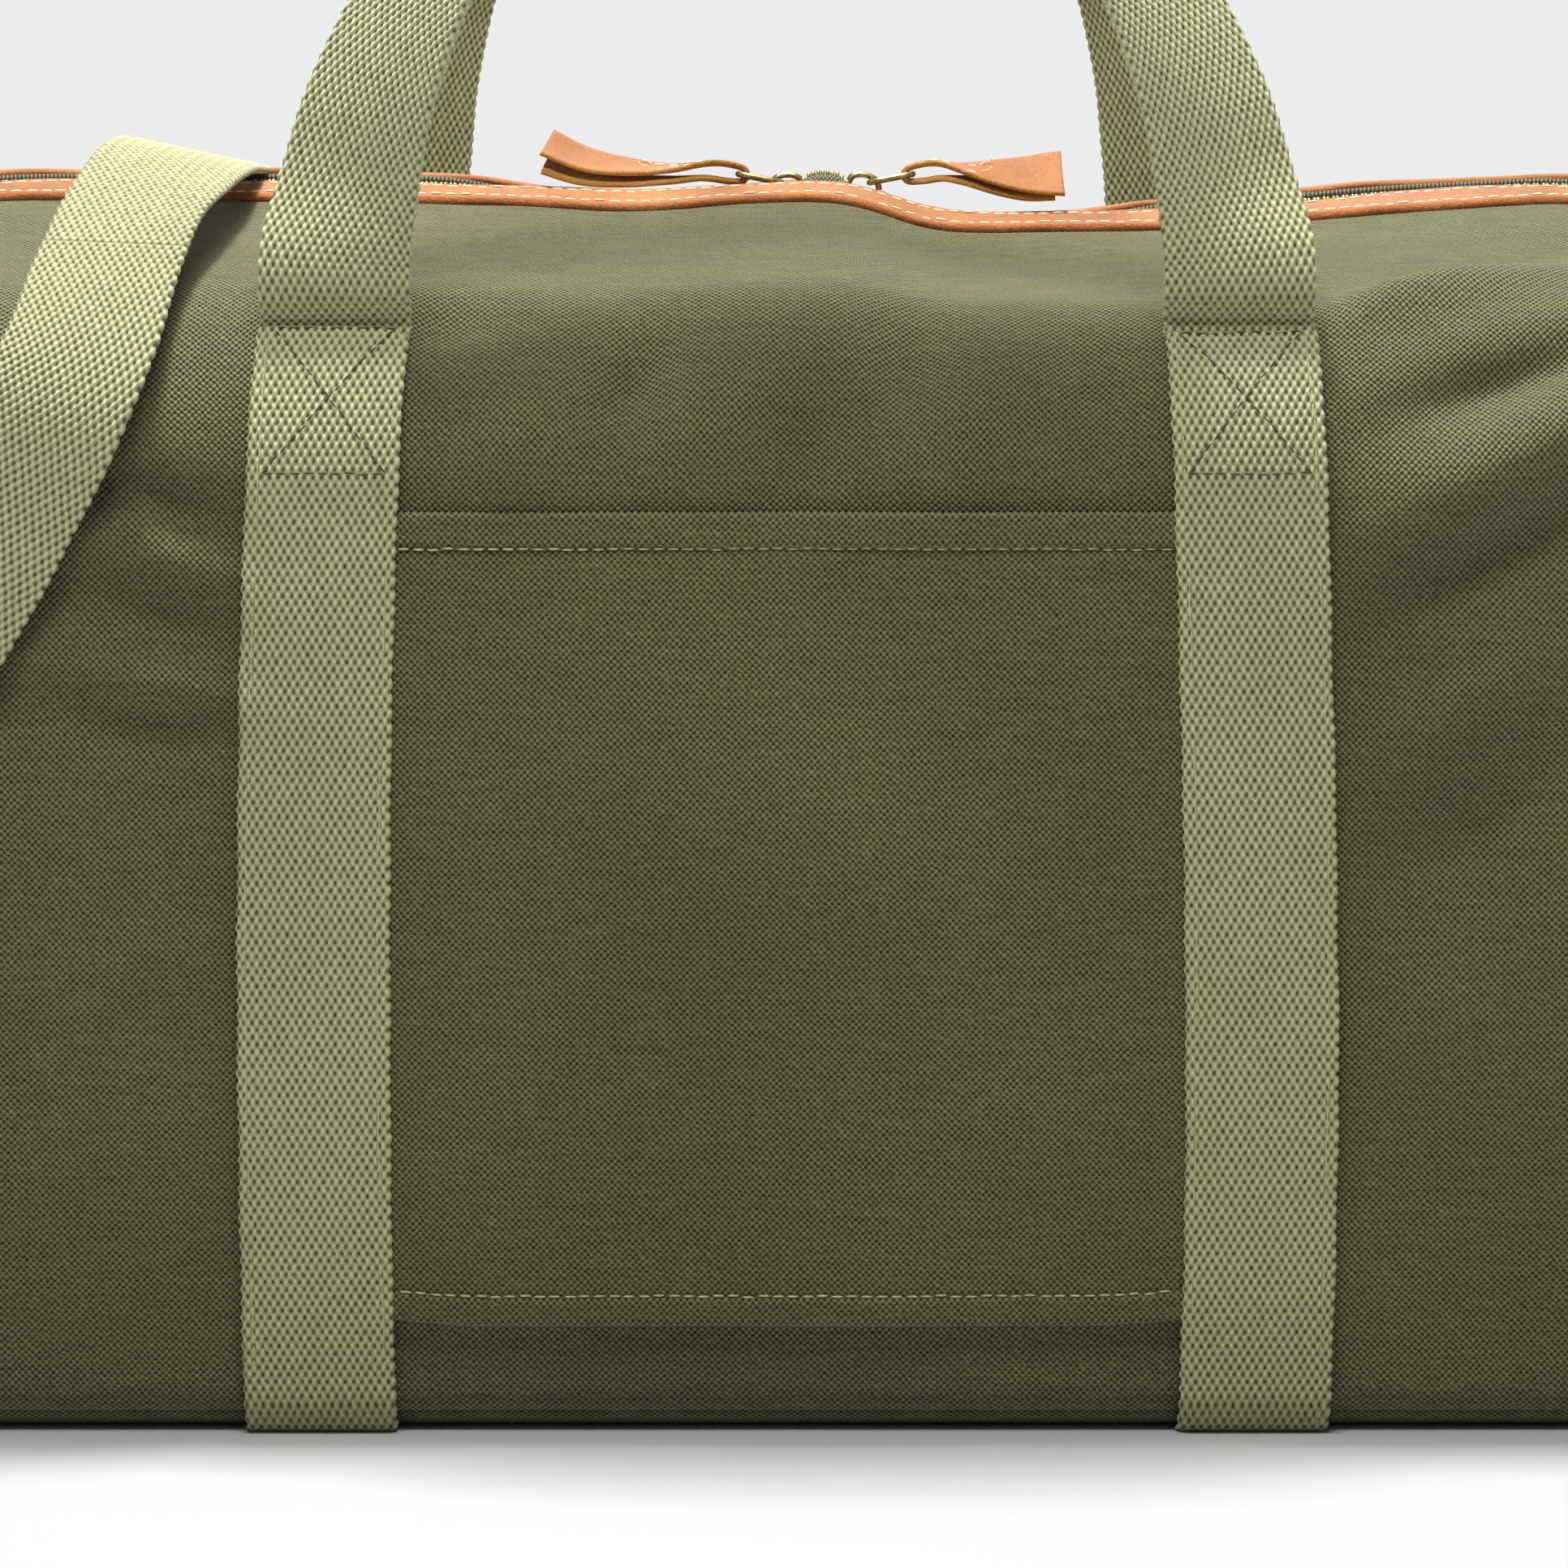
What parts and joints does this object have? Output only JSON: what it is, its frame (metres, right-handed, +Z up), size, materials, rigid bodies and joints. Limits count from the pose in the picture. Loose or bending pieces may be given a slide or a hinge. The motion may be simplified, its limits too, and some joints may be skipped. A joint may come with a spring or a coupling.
{
  "type": "duffel bag",
  "caption": "Canvas duffel bag with webbing carry handles, leather-faced zip with twin sliders, front patch pocket and a clip-on shoulder strap.",
  "frame": {"origin": "centre of the base, on the surface the bag stands on", "axes": "+X along the bag to the viewer's right of the pocket side, -Y out of the pocket side, +Z up"},
  "size_m": [0.6786, 0.3301, 0.4359],
  "materials": {
    "canvas": "heavy plain-weave olive cotton canvas",
    "binding": "flat woven cotton tape",
    "webbing": "chunky basket-weave cotton webbing, light green",
    "leather": "soft tan nubuck with ochre suede flesh side",
    "zip_tape": "fine knitted zip tape, grey olive",
    "brass": "antique brass, softly worn"
  },
  "bodies": {
    "bag": {"base_panel": "canvas", "front_panel": "canvas", "rear_panel": "canvas", "end_panel_left": "canvas", "end_panel_right": "canvas", "front_pocket": "canvas", "seam_binding_left": "binding", "seam_binding_right": "binding", "front_webbing_left": "webbing", "front_webbing_right": "webbing", "rear_webbing_left": "webbing", "rear_webbing_right": "webbing", "ring_tab_left": "webbing", "ring_tab_right": "webbing", "shoulder_strap": "webbing", "strap_return": "webbing", "leather_facing_front": "leather", "leather_facing_rear": "leather", "zip_end_tab_left": "leather", "zip_end_tab_right": "leather", "zip_tape_front": "zip_tape", "zip_tape_rear": "zip_tape", "zip_teeth_front": "brass", "zip_teeth_rear": "brass"},
    "front_handle": {"front_handle": "webbing"},
    "rear_handle": {"rear_handle": "webbing"},
    "slider_left": {"zip_slider_left": "brass"},
    "slider_right": {"zip_slider_right": "brass"},
    "link_left": {"pull_link_left": "brass"},
    "link_right": {"pull_link_right": "brass"},
    "pull_left": {"leather_pull_left": "leather"},
    "pull_right": {"leather_pull_right": "leather"},
    "ring_left": {"d_ring_left": "brass", "swivel_eye_left": "brass"},
    "ring_right": {"d_ring_right": "brass", "swivel_eye_right": "brass"},
    "hook_left": {"snap_hook_left": "brass"},
    "hook_right": {"snap_hook_right": "brass"},
    "gate_left": {"hook_gate_left": "brass"},
    "gate_right": {"hook_gate_right": "brass"},
    "adjuster": {"strap_adjuster": "brass"}
  },
  "joints": [
    {"name": "front_handle_turn", "type": "hinge", "parent": "bag", "child": "front_handle", "pos_m": [0, -0.13364, 0.27946], "axis": [1, 0, 0], "range_deg": [-45, 120]},
    {"name": "rear_handle_turn", "type": "hinge", "parent": "bag", "child": "rear_handle", "pos_m": [0, 0.13364, 0.27946], "axis": [-1, 0, 0], "range_deg": [-45, 120]},
    {"name": "slider_left_run", "type": "slide", "parent": "bag", "child": "slider_left", "axis": [-1, 0, 0], "range_m": [0, 0.245]},
    {"name": "slider_right_run", "type": "slide", "parent": "bag", "child": "slider_right", "axis": [1, 0, 0], "range_m": [0, 0.224]},
    {"name": "link_left_swing", "type": "hinge", "parent": "slider_left", "child": "link_left", "pos_m": [-0.0015, 0, 0.31664], "axis": [0, 1, 0], "range_deg": [0, 90]},
    {"name": "link_right_swing", "type": "hinge", "parent": "slider_right", "child": "link_right", "pos_m": [0.0225, 0, 0.31664], "axis": [0, -1, 0], "range_deg": [0, 90]},
    {"name": "pull_left_swing", "type": "hinge", "parent": "link_left", "child": "pull_left", "pos_m": [-0.01328, 0, 0.31893], "axis": [0, 1, 0], "range_deg": [-4, 70]},
    {"name": "pull_right_swing", "type": "hinge", "parent": "link_right", "child": "pull_right", "pos_m": [0.03428, 0, 0.31893], "axis": [0, -1, 0], "range_deg": [-4, 70]},
    {"name": "ring_left_swing", "type": "hinge", "parent": "bag", "child": "ring_left", "pos_m": [-0.30664, 0, 0.262], "axis": [0, 1, 0], "range_deg": [-4, 55], "deforming": ["shoulder_strap"]},
    {"name": "ring_right_swing", "type": "hinge", "parent": "bag", "child": "ring_right", "pos_m": [0.30664, 0, 0.262], "axis": [0, -1, 0], "range_deg": [-4, 55], "deforming": ["shoulder_strap", "strap_return"]},
    {"name": "hook_left_swivel", "type": "hinge", "parent": "ring_left", "child": "hook_left", "pos_m": [-0.31962, 0, 0.23606], "axis": [0, 0, 1], "range_deg": [-25, 25]},
    {"name": "hook_right_swivel", "type": "hinge", "parent": "ring_right", "child": "hook_right", "pos_m": [0.31687, 0.01794, 0.24132], "axis": [0, -0.5523, 0.8336], "range_deg": [-25, 25]},
    {"name": "gate_left_open", "type": "hinge", "parent": "hook_left", "child": "gate_left", "pos_m": [-0.33062, 0, 0.22946], "axis": [0, 1, 0], "range_deg": [0, 18], "stiffness_Nm_per_rad": 0.001},
    {"name": "gate_right_open", "type": "hinge", "parent": "hook_right", "child": "gate_right", "pos_m": [0.32726, 0.02457, 0.2378], "axis": [0.3263, -0.788, -0.5221], "range_deg": [0, 18], "stiffness_Nm_per_rad": 0.001},
    {"name": "adjuster_run", "type": "slide", "parent": "bag", "child": "adjuster", "axis": [0.9461, 0.0163, 0.3235], "range_m": [-0.015, 0.015]}
  ]
}
